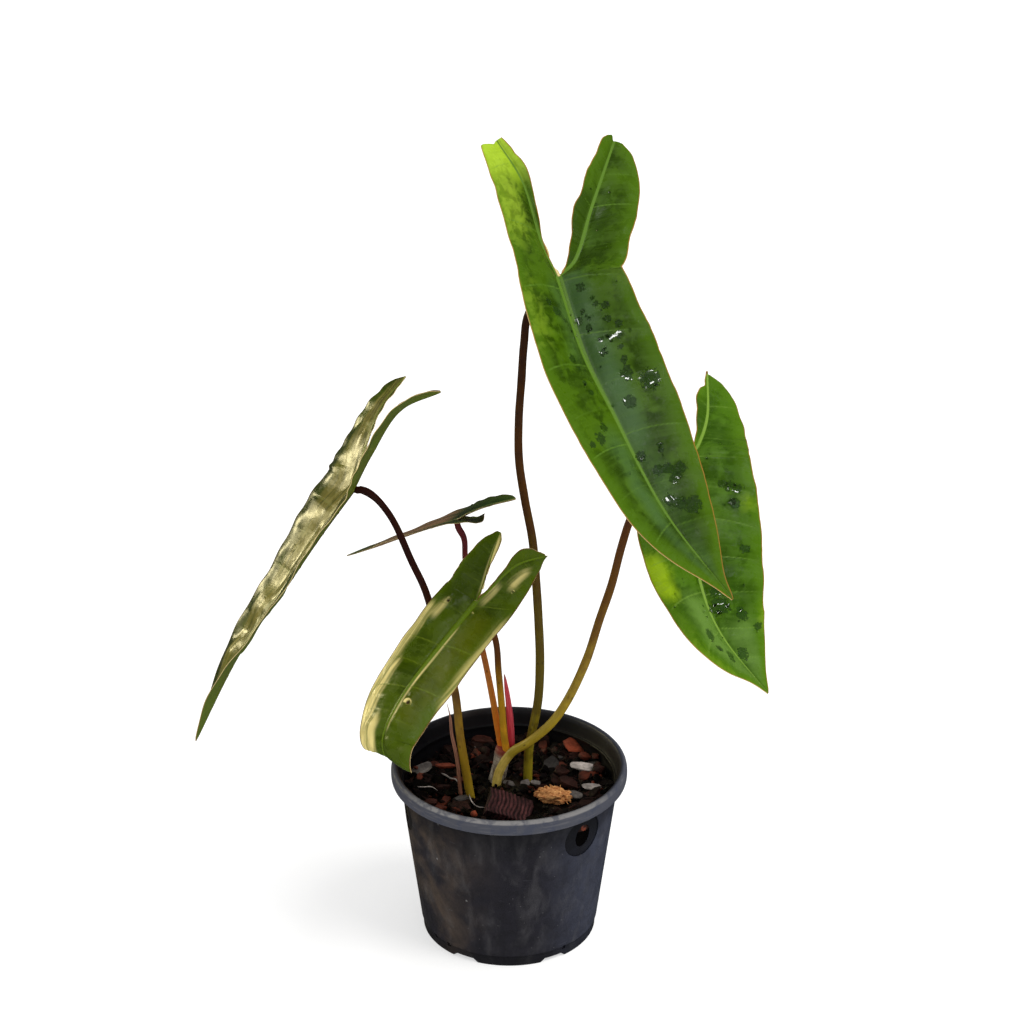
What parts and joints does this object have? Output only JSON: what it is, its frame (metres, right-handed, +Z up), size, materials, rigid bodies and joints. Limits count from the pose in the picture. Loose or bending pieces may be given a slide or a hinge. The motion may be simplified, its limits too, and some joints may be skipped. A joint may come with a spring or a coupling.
{
  "type": "potted philodendron billietiae",
  "caption": "Young philodendron with long arrow-shaped, ripple-edged leaves on slender stalks, growing in bark mix in a round black nursery pot with a rolled rim.",
  "frame": {"origin": "centre of the pot's foot, on the surface it stands on", "axes": "+Z up along the pot's axis, -Y towards the viewer of the picture, +X to the viewer's right"},
  "size_m": [0.3506, 0.2024, 0.5178],
  "materials": {
    "pot": "scuffed matte moulded plastic, paler and worn on the rim",
    "soil": "coarse dark potting mix of bark, husk and pale flakes",
    "bark": "ribbed purple-brown bark",
    "husk": "fibrous orange husk",
    "crown": "rough grey-beige stem base",
    "new_leaf": "glossy red sheath of an unopened leaf",
    "dry_sheath": "dry copper-brown strip",
    "petiole": "satin stalk, green-orange at the foot and dark red-brown towards the blade",
    "leaf_green": "glossy quilted green blade with a pale midrib",
    "leaf_olive": "glossy quilted olive blade with golden sheen"
  },
  "bodies": {
    "root": {"pot": "pot", "soil": "soil", "bark_block": "bark", "husk_chunk": "husk", "crown": "crown", "new_leaf_sheath": "new_leaf", "dry_sheath": "dry_sheath", "petiole_a": "petiole", "petiole_b": "petiole", "petiole_c": "petiole", "petiole_d": "petiole", "petiole_e": "petiole", "leaf_a": "leaf_green", "leaf_b": "leaf_green", "leaf_c": "leaf_olive", "leaf_d": "leaf_green", "leaf_e": "leaf_olive"}
  },
  "joints": []
}
